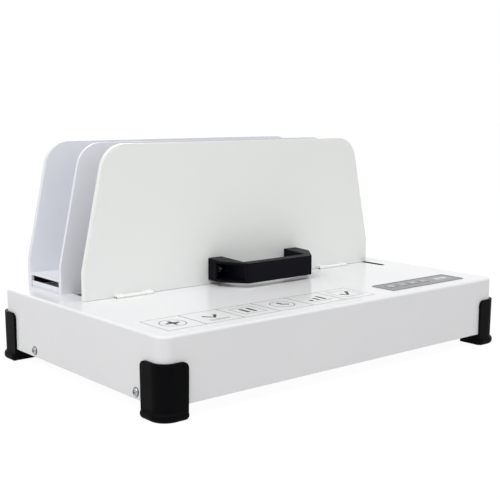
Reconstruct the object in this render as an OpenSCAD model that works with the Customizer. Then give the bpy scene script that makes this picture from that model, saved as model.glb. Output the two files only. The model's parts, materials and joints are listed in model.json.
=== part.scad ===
// Hot melt binding machine. A clamp plate on a sliding carriage closes a book against a fixed jaw
// over a heated trough, and a cooling rack stands behind the jaw.
// Origin: middle of the footprint on the table. X to the right, Y to the rear, Z up. Millimetres.

/* [Housing] */
// Length of the housing from end to end
body_length = 371; // [362:1:382]
// Depth of the housing from front to rear
body_depth = 238; // [237:1:250]
// Height of the housing from its lower edge to its top face
body_height = 50; // [48:0.5:56]
// Gap between the table and the housing's lower edge
foot_drop = 10.5; // [9:0.5:13]
// Thickness of the housing sheet
wall = 1.5; // [1.2:0.1:1.8]
// Radius of the upright corners
corner_radius = 10; // [8:0.5:12]
// Radius of the rolled top edge
edge_radius = 2; // [2:0.5:5]

/* [Feet] */
// Length of a foot along each side of the housing
foot_reach = 23.5; // [20:0.5:28]
// Height of a foot's wrapped side above the table
foot_height = 41.5; // [34:0.5:44]
// How far a foot stands out from the housing at its top
foot_proud = 2.5; // [1.4:0.1:3]
// How far the toe stands out beyond the foot's top
toe_flare = 1.4; // [0.8:0.1:1.8]

/* [Plates] */
// Width of the three plates at their lower part
plate_width = 326; // [320:0.5:334]
// Width of the plates along their top edge, before rounding
plate_top_width = 282; // [270:1:294]
// Height of the plates above the housing
plate_height = 125; // [116:1:134]
// Height at which the plate sides start to lean in
plate_shoulder = 23.5; // [18:0.5:30]
// Radius of the plates' top corners
plate_corner = 23; // [14:1:30]
// Thickness of the clamp plate
clamp_sheet = 5; // [4.6:0.1:6]
// Thickness of the jaw
jaw_sheet = 3; // [2.4:0.1:3.6]
// Thickness of the back plate
back_sheet = 4.5; // [3.5:0.1:5]

/* [Clamp] */
// Distance from the housing's rear face to the clamp plate's clamping face
clamp_setback = 94.6; // [94:0.2:98]
// Clear gap for the book with the clamp open
mouth = 32.8; // [32:0.1:34]
// Travel of the carriage towards the jaw
clamp_travel = 30; // [24:0.5:30]
// Clear gap of the cooling rack
rack_gap = 51.1; // [47:0.1:51.5]
// Height of the rack shelf above the housing
shelf_height = 11.5; // [10:0.1:16]

/* [Hinge] */
// Length of each hinge barrel
barrel_length = 35.6; // [32:0.2:40]
// Outer diameter of the hinge barrels
barrel_diameter = 4.6; // [4.4:0.1:5]
// Distance of each hinge barrel from the middle of the plate
barrel_offset = 115.2; // [108:0.2:122]
// Distance of the hinge pair's middle from the middle of the plate
barrel_shift = -2.4; // [-4:0.2:2]
// Diameter of the hinge pins
pin_diameter = 2.2; // [1.8:0.1:2.4]

/* [Handle] */
// Length of the handle where it meets the plate
handle_length = 104.6; // [98:0.2:112]
// How far the handle stands out from the plate
handle_reach = 37.4; // [35:0.2:39]
// Height of the handle where it meets the plate
handle_height = 19.5; // [18:0.5:22]
// Distance of the handle's middle from the middle of the plate
handle_shift = 13.8; // [8:0.2:18]
// Gap between the handle and the housing top
handle_lift = 4; // [3.6:0.1:5]

/* [Control panel] */
// Length of the control panel
panel_length = 94.6; // [92:0.2:99]
// Depth of the control panel
panel_depth = 25.2; // [25:0.2:29]
// Distance of the panel's middle from the middle of the housing
panel_shift = 111.5; // [106:0.5:116]
// Distance of the panel's middle from the housing's front face
panel_setback = 26.9; // [26:0.1:31]
// Travel of the keys
key_travel = 0.6; // [0.4:0.1:0.6]

/* [Guide strip] */
// Length of the pictogram strip
strip_length = 212; // [190:1:212]
// Depth of the pictogram strip
strip_depth = 38.5; // [28:0.5:40]

/* [Slide] */
// Diameter of the guide rods
rod_diameter = 6; // [5:0.2:6.4]
// Distance of each guide rod from the end of the housing
rod_offset = 18.5; // [17.5:0.5:21.5]
// Height of the guide rods above the table
rod_level = 36; // [34:0.5:38]
// Depth of the binding trough below the housing top
trough_depth = 22; // [19:0.5:24]

/* [Hidden] */
$fn = 64;

eps = 1;
hx = body_length / 2;
hy = body_depth / 2;
z_low = foot_drop;
z_top = foot_drop + body_height;
z_in = z_top - wall;

front_reach = foot_reach - 2;
toe_reach = foot_reach - 3;
toe_height = 7;
toe_round = 3;
foot_rim = 3;
foot_lean = 0.6;
foot_screw = toe_reach - 7.5;

// the plates' leaning side and the round that joins it to the top edge
lean_rise = plate_height - plate_shoulder;
lean_run = (plate_width - plate_top_width) / 2;
lean = norm([lean_rise, lean_run]);
round_x = plate_top_width / 2 - plate_corner * (lean - lean_run) / lean_rise;
lean_x = round_x + plate_corner * lean_rise / lean;
lean_z = plate_height - plate_corner + plate_corner * lean_run / lean;
flange_half = plate_width / 2 - 23;
rack_screw_x = plate_width / 2 - 43;

clamp_y = hy - clamp_setback;
plate_y = clamp_y - clamp_sheet;
jaw_y = clamp_y + mouth;
shelf_y = jaw_y + jaw_sheet;
back_y = shelf_y + rack_gap;
plate_gap = 0.2;

hinge_y = plate_y - barrel_diameter / 2 - 0.3;
hinge_z = z_top + 0.2;
hinge_low = hinge_z - barrel_diameter / 2;
knuckle_half = 10;
knuckle_gap = 0.2;
strap_t = 1.2;

// from the guide rods inwards: tray, opening, heater and the carriage's web
rod_x = hx - rod_offset;
tray_half = rod_x - 11;
standoff_x = tray_half - 10;
opening_half = tray_half - 3;
heater_half = tray_half - 6;
web_half = opening_half - 4;

web_t = 2;
web_y = clamp_y - web_t - 0.6;
apron_t = 1.2;
apron_z = z_in - 1.5 - apron_t;
apron_y = web_y - 36;
apron_half = rod_x + 5;

opening_y0 = web_y - strap_t - 0.6;
opening_y1 = jaw_y - 0.2;

base_t = 1.5;
base_z = z_low + base_t;
heater_z = z_top - trough_depth;
heater_t = 6;
element_t = 1;
board_t = 3;
tray_t = 1.5;
tray_z = heater_z - heater_t - element_t - board_t - tray_t;
heater_y = web_y - 4;
heater_depth = jaw_y - heater_y;
element_half = heater_half - 12;
element_inset = 6;

rod_y0 = web_y - 50;
rod_y1 = web_y + 56;
block_y = web_y - 30;
block_len = 22;
block_low = rod_level - 7;
bush_d = rod_diameter + 4;

slot_x = rod_x - 7;
slot_w = 3;
liner_t = 1;
lug_y = clamp_y - 28.5;
slot_y0 = lug_y - 1.7;
slot_y1 = lug_y + clamp_travel + 1.7;

handle_z = z_top + handle_lift;
handle_half = handle_length / 2;
handle_fall = 2;

panel_y = panel_setback - hy;
bezel_t = 0.6;
plug_low = z_in - 1.5;
key_pitch = (panel_length - 24.6) / 5;
key_w = key_pitch - 4;
key_x = [for (i = [0 : 3]) 11.3 - panel_length / 2 + key_pitch * i];
window_x = panel_length / 2 - 17.3;
post_x = panel_length / 2 - 3.3;
post_y = panel_depth / 2 - 3.6;
pcb_t = 1.6;
pcb_z = z_top - 12 - pcb_t;

strip_x = 14.7 - hx + strip_length / 2;
strip_y = 12.8 - hy + strip_depth / 2;

side_screw_y = [31.6 - hy, hy - 56];
side_screw_z = z_low + 5.4;

power_length = 120;
power_depth = 56;
spacer_x = power_length / 2 - 5;
spacer_y = power_depth / 2 - 5;
power_x = 27.5 - hx + power_length / 2;
power_y = 15 - hy + power_depth / 2;
power_z = base_z + 8;

inlet_x = hx - 63.5;
switch_x = inlet_x - 44;
fuse_x = switch_x - 32;
vent_x = 35.5 - hx;
vent_pitch = 12;
rear_z = z_low + 25;

white = [0.93, 0.93, 0.94];
black = [0.1, 0.1, 0.11];
steel = [0.72, 0.73, 0.75];

module rounded_rect(l, d, r) {
    square([l - 2 * r, d], center = true);
    square([l, d - 2 * r], center = true);
    for (sx = [-1, 1], sy = [-1, 1])
        translate([sx * (l / 2 - r), sy * (d / 2 - r)])
            circle(r);
}

// Section of a wall with a rolled top edge, measured out from the corner axis.
module roll_profile(r, e, h) {
    square([r - e, h]);
    square([r, h - e]);
    translate([r - e, h - e])
        circle(e);
}

module soft_side(run, r, e, h) {
    rotate([90, 0, 90])
        linear_extrude(run, center = true)
            roll_profile(r, e, h);
}

module soft_box(l, d, h, r, e) {
    for (sx = [-1, 1], sy = [-1, 1])
        translate([sx * (l / 2 - r), sy * (d / 2 - r), 0])
            rotate_extrude()
                intersection() {
                    roll_profile(r, e, h);
                    square([r, h]);
                }
    for (m = [0, 1])
        mirror([0, m, 0])
            translate([0, d / 2 - r, 0])
                soft_side(l - 2 * r, r, e, h);
    for (m = [0, 1])
        mirror([m, 0, 0])
            translate([l / 2 - r, 0, 0])
                rotate([0, 0, -90])
                    soft_side(d - 2 * r, r, e, h);
    translate([r - l / 2, r - d / 2, 0])
        cube([l - 2 * r, d - 2 * r, h]);
}

// A slot with round ends along Y, cut down through a sheet.
module slot_y(w, y0, y1, h) {
    translate([-w / 2, y0 + w / 2, 0])
        cube([w, y1 - y0 - w, h]);
    for (y = [y0 + w / 2, y1 - w / 2])
        translate([0, y, 0])
            cylinder(d = w, h = h);
}

module housing() {
    color(white)
    difference() {
        translate([0, 0, z_low])
            soft_box(body_length, body_depth, body_height, corner_radius, edge_radius);
        translate([0, 0, z_low - eps])
            linear_extrude(body_height - wall + eps)
                rounded_rect(body_length - 2 * wall, body_depth - 2 * wall, corner_radius - wall);
        // binding opening
        translate([-opening_half, opening_y0, z_in - eps])
            cube([2 * opening_half, opening_y1 - opening_y0, wall + 2 * eps]);
        // notches the hinge barrels lie in
        for (sx = [-1, 1])
            translate([barrel_shift + sx * barrel_offset - barrel_length / 2 - 0.8, 0, z_in - eps])
                translate([0, hinge_y - barrel_diameter / 2 - 0.6, 0])
                    cube([barrel_length + 1.6, 8, wall + 2 * eps]);
        translate([slot_x, 0, z_in - eps])
            slot_y(slot_w + 2 * liner_t, slot_y0 - liner_t, slot_y1 + liner_t, wall + 2 * eps);
        // control panel window
        translate([panel_shift - panel_length / 2 + 2, panel_y - panel_depth / 2 + 2, z_in - eps])
            cube([panel_length - 4, panel_depth - 4, wall + 2 * eps]);
        // screws under the rack
        for (x = [-rack_screw_x, 0, rack_screw_x], y = [shelf_y + 8, back_y - 8])
            translate([x, y, z_in - eps])
                cylinder(d = 4.2, h = wall + 2 * eps);
        for (sx = [-1, 1], y = side_screw_y)
            translate([sx * (hx - wall - eps), y, side_screw_z])
                rotate([0, sx * 90, 0])
                    cylinder(d = 4.2, h = wall + 2 * eps);
        // rear panel
        translate([inlet_x - 14, hy - wall - eps, rear_z - 10.2])
            cube([28, wall + 2 * eps, 20.4]);
        for (sx = [-1, 1])
            translate([inlet_x + sx * 20, hy - wall - eps, rear_z])
                rotate([-90, 0, 0])
                    cylinder(d = 3.2, h = wall + 2 * eps);
        translate([switch_x - 6.6, hy - wall - eps, rear_z - 10.6])
            cube([13.2, wall + 2 * eps, 21.2]);
        translate([fuse_x, hy - wall - eps, rear_z])
            rotate([-90, 0, 0])
                cylinder(d = 12.2, h = wall + 2 * eps);
        for (i = [0 : 11])
            translate([vent_x + vent_pitch * i, hy - wall - eps, rear_z])
                rotate([-90, 0, 0])
                    slot_y(3.2, -9, 9, wall + 2 * eps);
    }
}

module base_plate() {
    color(steel)
    difference() {
        union() {
            translate([0, 0, z_low])
                linear_extrude(base_t)
                    rounded_rect(body_length - 2 * wall - 0.2, body_depth - 2 * wall - 0.2,
                        corner_radius - wall - 0.1);
            for (sx = [-1, 1], y = side_screw_y)
                translate([sx * (hx - wall - 0.85) - 0.75, y - 7, z_low])
                    cube([1.5, 14, 11]);
        }
        for (sx = [-1, 1], y = side_screw_y)
            translate([sx * (hx - wall - 3), y, side_screw_z])
                rotate([0, sx * 90, 0])
                    cylinder(d = 4, h = 6);
        for (sx = [-1, 1], sy = [-1, 1])
            translate([sx * (hx - foot_screw), sy * (hy - foot_screw), z_low - eps])
                cylinder(d = 4, h = base_t + 2 * eps);
        // vents below the heater
        for (i = [0 : 12])
            translate([-108 + 18 * i, 0, z_low - eps])
                slot_y(4, web_y - 4, jaw_y + 14, base_t + 2 * eps);
    }
}

// Outline of a foot seen from one side, with a round upper end.
module foot_side(reach, h) {
    r = 5;
    translate([0, -eps])
        square([reach - r, h + eps]);
    translate([0, -eps])
        square([reach, h - r + eps]);
    translate([reach - r, h - r])
        circle(r);
}

// Plan of the block under the housing's corner.
module foot_plan(reach) {
    intersection() {
        rounded_rect(body_length, body_depth, corner_radius);
        translate([-hx, -hy])
            square([reach, reach]);
    }
}

// Section of a foot's side from the corner axis out; it leans out a little towards the top.
module foot_profile() {
    i = corner_radius - foot_rim;
    r = corner_radius + foot_proud;
    polygon([[i, toe_round], [r - foot_lean, toe_round], [r, foot_height], [i, foot_height]]);
}

// Section of the toe, round along its upper and lower edge.
module toe_profile() {
    i = corner_radius - foot_rim;
    r = corner_radius + foot_proud + toe_flare;
    translate([i, 0])
        square([r - toe_round - i, toe_height]);
    translate([i, toe_round])
        square([r - i, toe_height - 2 * toe_round]);
    for (z = [toe_round, toe_height - toe_round])
        translate([r - toe_round, z])
            circle(toe_round);
}

// Carries a section round the front left corner and some way along both sides.
module corner_sweep(run_x, run_y) {
    translate([corner_radius - hx, corner_radius - hy, 0]) {
        intersection() {
            rotate_extrude()
                children();
            translate([-40, -40, -eps])
                cube([40, 40, foot_height + 2 * eps]);
        }
        mirror([0, 1, 0])
            rotate([90, 0, 90])
                linear_extrude(run_x)
                    children();
        mirror([1, 0, 0])
            translate([0, run_y, 0])
                rotate([90, 0, 0])
                    linear_extrude(run_y)
                        children();
    }
}

// The front left foot; the others are its mirror images.
module foot() {
    p = foot_proud;
    run_x = front_reach - corner_radius;
    run_y = foot_reach - corner_radius;
    difference() {
        union() {
            intersection() {
                corner_sweep(run_x + eps, run_y + eps)
                    foot_profile();
                translate([-hx - p, 0, 0])
                    rotate([90, 0, 0])
                        linear_extrude(2 * body_depth, center = true)
                            foot_side(front_reach + p, foot_height);
                translate([0, -hy - p, 0])
                    rotate([90, 0, 90])
                        linear_extrude(2 * body_length, center = true)
                            foot_side(foot_reach + p, foot_height);
            }
            corner_sweep(run_x - 3, run_y - 3)
                toe_profile();
            linear_extrude(z_low)
                foot_plan(toe_reach);
        }
        translate([0, 0, z_low])
            linear_extrude(body_height)
                rounded_rect(body_length, body_depth, corner_radius);
        translate([foot_screw - hx, foot_screw - hy, -eps])
            cylinder(d = 4.2, h = z_low + 2 * eps);
        translate([foot_screw - hx, foot_screw - hy, -eps])
            cylinder(d = 9, h = 5 + eps);
    }
}

module foot_front_left() {
    color(black)
        foot();
}

module foot_front_right() {
    color(black)
        mirror([1, 0, 0])
            foot();
}

module foot_rear_left() {
    color(black)
        mirror([0, 1, 0])
            foot();
}

module foot_rear_right() {
    color(black)
        mirror([1, 0, 0])
            mirror([0, 1, 0])
                foot();
}

// A pan head screw with its seat at the origin, head up along Z and shank down.
module pan_screw(d, head_d, head_h, len) {
    difference() {
        union() {
            cylinder(d = head_d, h = head_h * 0.6);
            translate([0, 0, head_h * 0.6])
                cylinder(d1 = head_d, d2 = head_d * 0.7, h = head_h * 0.4);
            translate([0, 0, -len])
                cylinder(d = d, h = len);
        }
        for (a = [0, 90])
            rotate([0, 0, a])
                translate([-head_d * 0.3, -head_d * 0.06, head_h * 0.5])
                    cube([head_d * 0.6, head_d * 0.12, head_h]);
    }
}

module foot_screws() {
    color(steel)
        for (sx = [-1, 1], sy = [-1, 1])
            translate([sx * (hx - foot_screw), sy * (hy - foot_screw), 5])
                rotate([180, 0, 0])
                    pan_screw(4, 8, 3, z_low - 5 + base_t);
}

module case_screws() {
    color(steel)
        for (sx = [-1, 1], y = side_screw_y)
            translate([sx * hx, y, side_screw_z])
                rotate([0, sx * 90, 0])
                    pan_screw(4, 7, 2.2, wall + 1.5);
}

// Outline shared by the clamp plate, the jaw and the back plate.
module plate_outline(low) {
    w = plate_width / 2;
    r = plate_corner;
    polygon([[-w, low], [w, low], [w, plate_shoulder], [lean_x, lean_z], [round_x, plate_height],
        [-round_x, plate_height], [-lean_x, lean_z], [-w, plate_shoulder]]);
    for (s = [-1, 1])
        translate([s * round_x, plate_height - r])
            circle(r);
}

// A plate standing on the housing, with its front face at y.
module upright_plate(low, y, t) {
    translate([0, y + t, z_top])
        rotate([90, 0, 0])
            linear_extrude(t)
                plate_outline(low);
}

module rear_jaw() {
    color(white)
    difference() {
        union() {
            upright_plate(0, jaw_y, jaw_sheet);
            translate([-flange_half, shelf_y - eps, z_top])
                cube([2 * flange_half, 14 + eps, 1.5]);
        }
        for (x = [-rack_screw_x, 0, rack_screw_x])
            translate([x, shelf_y + 8, z_top - eps])
                cylinder(d = 4, h = 4);
    }
}

module back_plate() {
    color(white)
    difference() {
        union() {
            upright_plate(0, back_y, back_sheet);
            translate([-flange_half, back_y - 14, z_top])
                cube([2 * flange_half, 14 + eps, 1.5]);
        }
        for (x = [-rack_screw_x, 0, rack_screw_x])
            translate([x, back_y - 8, z_top - eps])
                cylinder(d = 4, h = 4);
    }
}

module rack_shelf() {
    w = plate_width / 2;
    t = 1.5;
    color(white)
    difference() {
        union() {
            translate([-w, shelf_y, z_top + shelf_height - t])
                cube([2 * w, back_y - shelf_y, t]);
            translate([-w, shelf_y, z_top])
                cube([2 * w, t, shelf_height]);
            translate([-w, back_y - t, z_top])
                cube([2 * w, t, shelf_height]);
        }
        // room for the turned feet of the two plates
        translate([-flange_half - 1, shelf_y - eps, z_top - eps])
            cube([2 * flange_half + 2, back_y - shelf_y + 2 * eps, 1.5 + eps]);
    }
}

module rack_screws() {
    color(steel)
        for (x = [-rack_screw_x, 0, rack_screw_x], y = [shelf_y + 8, back_y - 8])
            translate([x, y, z_in])
                rotate([180, 0, 0])
                    pan_screw(4, 7.4, 2.4, wall + 1.5);
}

module heater_tray() {
    y0 = web_y - 6;
    y1 = jaw_y + tray_t;
    color(steel)
    difference() {
        union() {
            translate([-tray_half, y0, tray_z])
                cube([2 * tray_half, y1 - y0, tray_t]);
            translate([-tray_half, jaw_y, tray_z])
                cube([2 * tray_half, tray_t, z_in - tray_z]);
            for (x = [-tray_half, tray_half - tray_t])
                translate([x, y0, tray_z])
                    cube([tray_t, y1 - y0, heater_z - tray_z - 1]);
        }
        for (sx = [-1, 1], y = [web_y, jaw_y - 6])
            translate([sx * standoff_x, y, tray_z - eps])
                cylinder(d = 4.2, h = tray_t + 2 * eps);
    }
}

module insulation_board() {
    color([0.86, 0.84, 0.78])
        translate([-heater_half, heater_y, tray_z + tray_t])
            cube([2 * heater_half, heater_depth, board_t]);
}

module heating_element() {
    color([0.55, 0.45, 0.3])
        translate([-element_half, heater_y + element_inset, tray_z + tray_t + board_t])
            cube([2 * element_half, heater_depth - 2 * element_inset, element_t]);
}

module heater_plate() {
    color([0.8, 0.81, 0.82])
    difference() {
        translate([-heater_half, heater_y, heater_z - heater_t - element_t])
            cube([2 * heater_half, heater_depth, heater_t + element_t]);
        translate([-element_half, heater_y + element_inset, heater_z - heater_t - 2 * element_t])
            cube([2 * element_half, heater_depth - 2 * element_inset, 2 * element_t]);
    }
}

module tray_standoffs() {
    color([0.9, 0.88, 0.84])
        for (sx = [-1, 1], y = [web_y, jaw_y - 6])
            translate([sx * standoff_x, y, base_z]) {
                cylinder(d = 9, h = tray_z - base_z);
                cylinder(d = 4, h = tray_z - base_z + tray_t);
            }
}

module thermostat() {
    color([0.3, 0.3, 0.32])
        translate([-40, web_y + 18, tray_z]) {
            translate([0, 0, -3])
                cylinder(d = 16, h = 3);
            translate([0, 0, -8])
                cylinder(d = 13, h = 5.5);
            for (s = [-1, 1])
                translate([s * 8 - 4, -2.4, -7.6])
                    cube([8, 4.8, 0.8]);
        }
}

module thermal_fuse() {
    color([0.75, 0.76, 0.7])
        translate([34, web_y + 18, tray_z - 2]) {
            rotate([0, 90, 0])
                cylinder(d = 4, h = 12);
            translate([-5, 0, 0])
                rotate([0, 90, 0])
                    cylinder(d = 1, h = 22, $fn = 24);
        }
}

// A bent bracket whose two posts hold one guide rod.
module rod_bracket() {
    difference() {
        union() {
            translate([-7, rod_y0, base_z])
                cube([14, rod_y1 - rod_y0, 2]);
            for (y = [rod_y0, rod_y1 - 8])
                translate([-7, y, base_z])
                    cube([14, 8, rod_level + 7 - base_z]);
        }
        translate([0, rod_y0 - eps, rod_level])
            rotate([-90, 0, 0])
                cylinder(d = rod_diameter, h = rod_y1 - rod_y0 + 2 * eps);
    }
}

module rod_bracket_left() {
    color(steel)
        translate([-rod_x, 0, 0])
            rod_bracket();
}

module rod_bracket_right() {
    color(steel)
        translate([rod_x, 0, 0])
            rod_bracket();
}

module guide_rod() {
    translate([0, rod_y0, rod_level])
        rotate([-90, 0, 0])
            cylinder(d = rod_diameter, h = rod_y1 - rod_y0);
}

module guide_rod_left() {
    color([0.82, 0.83, 0.85])
        translate([-rod_x, 0, 0])
            guide_rod();
}

module guide_rod_right() {
    color([0.82, 0.83, 0.85])
        translate([rod_x, 0, 0])
            guide_rod();
}

module slot_liner() {
    color(black)
        translate([slot_x, 0, 0])
            translate([0, 0, z_in - 0.3])
                difference() {
                    slot_y(slot_w + 2 * liner_t, slot_y0 - liner_t, slot_y1 + liner_t, wall + 0.3);
                    translate([0, 0, -eps])
                        slot_y(slot_w, slot_y0, slot_y1, wall + 0.3 + 2 * eps);
                }
}

module guide_strip() {
    color([0.97, 0.97, 0.97])
        translate([strip_x - strip_length / 2, strip_y - strip_depth / 2, z_top])
            cube([strip_length, strip_depth, 0.2]);
}

module control_bezel() {
    color([0.62, 0.62, 0.63])
    difference() {
        union() {
            translate([panel_shift, panel_y, z_top])
                linear_extrude(bezel_t)
                    rounded_rect(panel_length, panel_depth, 0.6);
            translate([panel_shift - panel_length / 2 + 2, panel_y - panel_depth / 2 + 2, plug_low])
                cube([panel_length - 4, panel_depth - 4, z_top - plug_low]);
            for (sx = [-1, 1], sy = [-1, 1])
                translate([panel_shift + sx * post_x, panel_y + sy * post_y, pcb_z + pcb_t])
                    cylinder(d = 4, h = plug_low - pcb_z - pcb_t + eps);
        }
        for (x = key_x)
            translate([panel_shift + x - key_w / 2 - 0.15, panel_y - 4.15, plug_low - eps])
                cube([key_w + 0.3, 8.3, 8]);
        translate([panel_shift + window_x - 9, panel_y - 4.5, plug_low - eps])
            cube([18, 9, 8]);
        translate([panel_shift + window_x - 10, panel_y - 5.5, plug_low - eps])
            cube([20, 11, z_top - 0.4 - plug_low + eps]);
        for (sx = [-1, 1], sy = [-1, 1])
            translate([panel_shift + sx * post_x, panel_y + sy * post_y, pcb_z])
                cylinder(d = 2, h = 8);
    }
}

module display_window() {
    color([0.15, 0.18, 0.2])
        translate([panel_shift + window_x, panel_y, z_top - 1.9]) {
            translate([-9.9, -5.4, 0])
                cube([19.8, 10.8, 1.5]);
            translate([-8.95, -4.45, 0])
                cube([17.9, 8.9, 1.9 + bezel_t]);
        }
}

module display_module() {
    color([0.25, 0.3, 0.28])
        translate([panel_shift + window_x - 9, panel_y - 5, pcb_z + pcb_t])
            cube([18, 10, z_top - 1.9 - pcb_z - pcb_t]);
}

module control_board() {
    color([0.1, 0.35, 0.2])
    difference() {
        translate([panel_shift - panel_length / 2 + 0.3, panel_y - 13, pcb_z])
            cube([panel_length - 0.6, 34, pcb_t]);
        for (sx = [-1, 1], sy = [-1, 1])
            translate([panel_shift + sx * post_x, panel_y + sy * post_y, pcb_z - eps])
                cylinder(d = 2.2, h = pcb_t + 2 * eps);
    }
}

module key_switches() {
    color([0.2, 0.2, 0.22])
        for (x = key_x)
            translate([panel_shift + x, panel_y, pcb_z + pcb_t]) {
                translate([-3, -3, 0])
                    cube([6, 6, 3.5]);
                cylinder(d = 3.4, h = 4.1);
            }
}

module board_screws() {
    color(steel)
        for (sx = [-1, 1], sy = [-1, 1])
            translate([panel_shift + sx * post_x, panel_y + sy * post_y, pcb_z])
                rotate([180, 0, 0])
                    pan_screw(2, 3.8, 1.5, 6);
}

// A key cap with a skirt that stops it below the bezel.
module key(i) {
    translate([panel_shift + key_x[i], panel_y, 0]) {
        translate([-key_w / 2, -4, plug_low - 1.2])
            cube([key_w, 8, z_top + 1 - plug_low + 1.2]);
        translate([-key_w / 2 - 1, -5, plug_low - 1.3])
            cube([key_w + 2, 10, 1.2]);
        translate([0, 0, pcb_z + pcb_t + 4.1 + key_travel + 0.1])
            cylinder(d = 4, h = plug_low - 1 - pcb_z - pcb_t - 4.2 - key_travel);
    }
}

module key_1() {
    color([0.85, 0.85, 0.85])
        key(0);
}

module key_2() {
    color([0.85, 0.85, 0.85])
        key(1);
}

module key_3() {
    color([0.85, 0.85, 0.85])
        key(2);
}

module key_4() {
    color([0.85, 0.85, 0.85])
        key(3);
}

module power_board() {
    color([0.1, 0.35, 0.2])
    difference() {
        translate([power_x - power_length / 2, power_y - power_depth / 2, power_z])
            cube([power_length, power_depth, pcb_t]);
        for (sx = [-1, 1], sy = [-1, 1])
            translate([power_x + sx * spacer_x, power_y + sy * spacer_y, power_z - eps])
                cylinder(d = 3.2, h = pcb_t + 2 * eps);
    }
}

module board_spacers() {
    color([0.8, 0.68, 0.35])
        for (sx = [-1, 1], sy = [-1, 1])
            translate([power_x + sx * spacer_x, power_y + sy * spacer_y, base_z]) {
                cylinder(d = 6, h = power_z - base_z);
                cylinder(d = 3, h = power_z - base_z + pcb_t + 1);
            }
}

module transformer() {
    color([0.35, 0.33, 0.3])
        translate([power_x - 44, power_y - 17, power_z + pcb_t]) {
            cube([41, 34, 4]);
            translate([0, 6, 0])
                cube([41, 22, 25]);
            translate([8, 1, 4])
                cube([25, 32, 16]);
        }
}

module relay() {
    color([0.15, 0.3, 0.6])
        translate([power_x + 14, power_y - 8, power_z + pcb_t])
            cube([19, 16, 15]);
}

module mains_inlet() {
    color(black)
    difference() {
        union() {
            translate([inlet_x - 25, hy, rear_z - 11.4])
                cube([50, 1.7, 22.8]);
            translate([inlet_x - 13.8, hy - 18, rear_z - 10])
                cube([27.6, 18 + eps, 20]);
        }
        translate([inlet_x - 12, hy - 15, rear_z - 8.2])
            cube([24, 18, 16.4]);
        for (sx = [-1, 1])
            translate([inlet_x + sx * 20, hy - eps, rear_z])
                rotate([-90, 0, 0])
                    cylinder(d = 3, h = 4);
        for (p = [[-7, -2], [7, -2], [0, 2]])
            translate([inlet_x + p[0] - 1, hy - 19, rear_z + p[1] - 2])
                cube([2, 6, 4]);
    }
}

module inlet_pins() {
    color([0.85, 0.72, 0.4])
        for (p = [[-7, -2], [7, -2], [0, 2]])
            translate([inlet_x + p[0] - 1, hy - 24, rear_z + p[1] - 2])
                cube([2, 18, 4]);
}

module inlet_screws() {
    color(steel)
        for (sx = [-1, 1])
            translate([inlet_x + sx * 20, hy + 1.7, rear_z])
                rotate([-90, 0, 0])
                    pan_screw(3, 5, 1.1, 8);
}

module switch_case() {
    color(black)
    difference() {
        union() {
            translate([switch_x - 8, hy, rear_z - 12])
                cube([16, 1.2, 24]);
            translate([switch_x - 6.5, hy - 20, rear_z - 10.5])
                cube([13, 20 + eps, 21]);
            for (s = [-1, 1])
                translate([switch_x + s * 4 - 0.4, hy - 26, rear_z - 3])
                    cube([0.8, 7, 6]);
        }
        translate([switch_x - 5.3, hy - 12, rear_z - 9.2])
            cube([10.6, 16, 18.4]);
        translate([switch_x - 6.3, hy - 5, rear_z])
            rotate([0, 90, 0])
                cylinder(d = 3, h = 12.6);
    }
}

// The rocker lies tipped at rest, with its upper end pressed in.
module rocker() {
    color([0.12, 0.12, 0.13])
        translate([switch_x, hy - 5, rear_z]) {
            rotate([-6, 0, 0])
                rotate([90, 0, 90])
                    linear_extrude(10, center = true)
                        polygon([[-4, -5], [-4, 5], [5.4, 8], [6.8, 7.8], [5.9, 0], [6.8, -7.8],
                            [5.4, -8]]);
            translate([-6.2, 0, 0])
                rotate([0, 90, 0])
                    cylinder(d = 2.9, h = 12.4);
        }
}

module fuse_holder() {
    color(black)
        translate([fuse_x, hy, rear_z])
            rotate([-90, 0, 0])
                difference() {
                    union() {
                        cylinder(d = 15, h = 1.2);
                        cylinder(d = 12, h = 2.6);
                        translate([0, 0, -26])
                            cylinder(d = 12, h = 26);
                    }
                    translate([-5, -0.6, 1.8])
                        cube([10, 1.2, 2]);
                }
}

module carriage() {
    color(steel)
    difference() {
        union() {
            translate([-apron_half, apron_y, apron_z])
                cube([2 * apron_half, web_y + web_t - apron_y, apron_t]);
            translate([-web_half, web_y, heater_z + 0.6])
                cube([2 * web_half, web_t, z_top - 0.3 - heater_z - 0.6]);
        }
        for (sx = [-1, 1], y = [block_y + 5, block_y + block_len - 5])
            translate([sx * rod_x, y, apron_z - eps])
                cylinder(d = 3.2, h = apron_t + 2 * eps);
        translate([slot_x, lug_y, apron_z - eps])
            cylinder(d = 2, h = apron_t + 2 * eps);
    }
}

module slide_block() {
    difference() {
        translate([-6, block_y, block_low])
            cube([12, block_len, apron_z - block_low]);
        translate([0, block_y - eps, rod_level])
            rotate([-90, 0, 0])
                cylinder(d = bush_d, h = block_len + 2 * eps);
        for (y = [block_y + 5, block_y + block_len - 5])
            translate([0, y, apron_z - 6])
                cylinder(d = 3, h = 8);
    }
}

module slide_block_left() {
    color([0.25, 0.25, 0.27])
        translate([-rod_x, 0, 0])
            slide_block();
}

module slide_block_right() {
    color([0.25, 0.25, 0.27])
        translate([rod_x, 0, 0])
            slide_block();
}

module bush() {
    translate([0, block_y, rod_level])
        rotate([-90, 0, 0])
            difference() {
                cylinder(d = bush_d, h = block_len);
                translate([0, 0, -eps])
                    cylinder(d = rod_diameter + 0.1, h = block_len + 2 * eps);
            }
}

module bush_left() {
    color([0.72, 0.52, 0.3])
        translate([-rod_x, 0, 0])
            bush();
}

module bush_right() {
    color([0.72, 0.52, 0.3])
        translate([rod_x, 0, 0])
            bush();
}

module block_screws() {
    color(steel)
        for (sx = [-1, 1], y = [block_y + 5, block_y + block_len - 5])
            translate([sx * rod_x, y, apron_z + apron_t])
                pan_screw(3, 5.6, 0.9, 6);
}

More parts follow.
